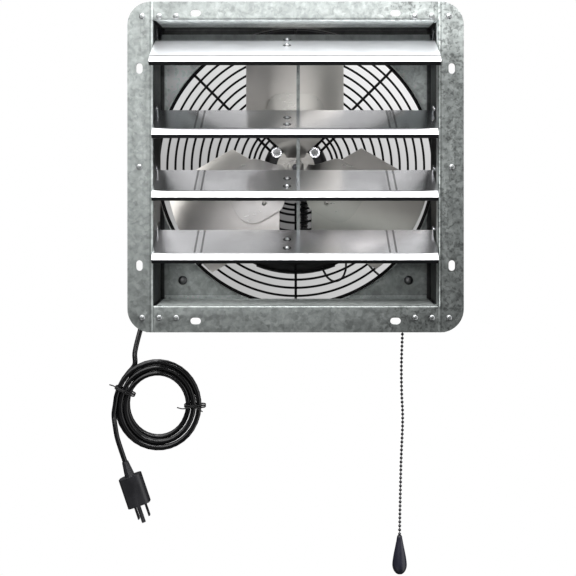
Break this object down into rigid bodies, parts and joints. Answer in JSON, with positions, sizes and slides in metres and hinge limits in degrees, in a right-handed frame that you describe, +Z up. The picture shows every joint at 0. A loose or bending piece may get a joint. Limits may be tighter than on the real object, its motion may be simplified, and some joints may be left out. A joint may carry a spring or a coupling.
{
  "type": "shutter exhaust fan",
  "caption": "Square wall exhaust fan with gravity slats on a tie bar, blades in a round orifice, wire motor guard, pull-chain switch and a coiled mains lead with plug.",
  "frame": {"origin": "middle of the top wall flange, on the face that rests on the wall", "axes": "+Y into the wall, square to the flange; +Z up along the wall; +X to the right seen from the front"},
  "size_m": [0.3934, 0.2458, 0.6457],
  "materials": {
    "galvanised_sheet": "dull spangled galvanised",
    "slat_sheet": "polished",
    "blade_sheet": "satin",
    "black_wire": "satin black",
    "black_housing": "satin black",
    "zinc_steel": "zinc plated",
    "laminations": "varnished",
    "cord_jacket": "satin black",
    "black_moulding": "satin black",
    "chain_steel": "dark plated"
  },
  "bodies": {
    "fan_body": {"shutter_frame_left": "galvanised_sheet", "box_side_left": "galvanised_sheet", "shutter_frame_right": "galvanised_sheet", "box_side_right": "galvanised_sheet", "shutter_frame_top": "galvanised_sheet", "box_side_top": "galvanised_sheet", "shutter_frame_bottom": "galvanised_sheet", "box_side_bottom": "galvanised_sheet", "orifice_plate": "galvanised_sheet", "plate_screw_1": "chain_steel", "motor_arm_1": "black_wire", "motor_bolt_1": "zinc_steel", "plate_screw_2": "chain_steel", "motor_arm_2": "black_wire", "motor_bolt_2": "zinc_steel", "plate_screw_3": "chain_steel", "motor_arm_3": "black_wire", "motor_bolt_3": "zinc_steel", "plate_screw_4": "chain_steel", "motor_arm_4": "black_wire", "motor_bolt_4": "zinc_steel", "guard_face": "black_wire", "guard_cage": "black_wire", "motor_front_bell": "black_housing", "motor_stator": "laminations", "motor_rear_bell": "black_housing", "junction_box": "black_housing", "junction_box_lid": "black_housing", "cord_gland": "black_moulding", "motor_lead": "cord_jacket", "switch_bracket": "galvanised_sheet", "switch_body": "black_moulding", "switch_nut": "zinc_steel", "switch_lead": "cord_jacket", "power_cord_lead": "cord_jacket", "power_cord_coil": "cord_jacket", "power_cord_tail": "cord_jacket", "plug_body": "black_moulding", "cord_tie_1": "black_moulding", "cord_tie_2": "black_moulding"},
    "rotor": {"motor_shaft": "zinc_steel", "fan_hub": "blade_sheet", "hub_screw": "black_housing", "blade_spider": "blade_sheet", "fan_blade_1": "blade_sheet", "fan_blade_2": "blade_sheet", "fan_blade_3": "blade_sheet"},
    "slat_1_set": {"slat_1": "slat_sheet", "slat_bracket_1": "zinc_steel"},
    "slat_2_set": {"slat_2": "slat_sheet", "slat_bracket_2": "zinc_steel"},
    "slat_3_set": {"slat_3": "slat_sheet", "slat_bracket_3": "zinc_steel"},
    "slat_4_set": {"slat_4": "slat_sheet", "slat_bracket_4": "zinc_steel"},
    "tie_bar_set": {"tie_bar": "galvanised_sheet"},
    "pull_set": {"pull_chain": "chain_steel", "pull_knob": "black_moulding"}
  },
  "joints": [
    {"name": "fan_spin", "type": "hinge", "parent": "fan_body", "child": "rotor", "pos_m": [0, 0.1001, -0.169], "axis": [0, 1, 0], "continuous": true},
    {"name": "slat_1_turn", "type": "hinge", "parent": "fan_body", "child": "slat_1_set", "pos_m": [0, 0.0251, -0.021], "axis": [1, 0, 0], "range_deg": [0, 55.8]},
    {"name": "slat_2_turn", "type": "hinge", "parent": "fan_body", "child": "slat_2_set", "pos_m": [0, 0.0251, -0.1052], "axis": [1, 0, 0], "range_deg": [0, 55.8]},
    {"name": "slat_3_turn", "type": "hinge", "parent": "fan_body", "child": "slat_3_set", "pos_m": [0, 0.0251, -0.1712], "axis": [1, 0, 0], "range_deg": [0, 55.8]},
    {"name": "slat_4_turn", "type": "hinge", "parent": "fan_body", "child": "slat_4_set", "pos_m": [0, 0.0251, -0.2372], "axis": [1, 0, 0], "range_deg": [0, 55.8]},
    {"name": "tie_bar_turn", "type": "hinge", "parent": "slat_1_set", "child": "tie_bar_set", "pos_m": [0.0028, 0.04156, -0.04365], "axis": [1, 0, 0], "range_deg": [-55.8, 0]},
    {"name": "chain_pull", "type": "slide", "parent": "fan_body", "child": "pull_set", "axis": [0, 0, -1], "range_m": [0, 0.01], "stiffness_N_per_m": 600}
  ],
  "couplings": [
    {"joint": "slat_2_turn", "follows": "slat_1_turn", "ratio": 1},
    {"joint": "slat_3_turn", "follows": "slat_1_turn", "ratio": 1},
    {"joint": "slat_4_turn", "follows": "slat_1_turn", "ratio": 1},
    {"joint": "tie_bar_turn", "follows": "slat_1_turn", "ratio": -1}
  ]
}
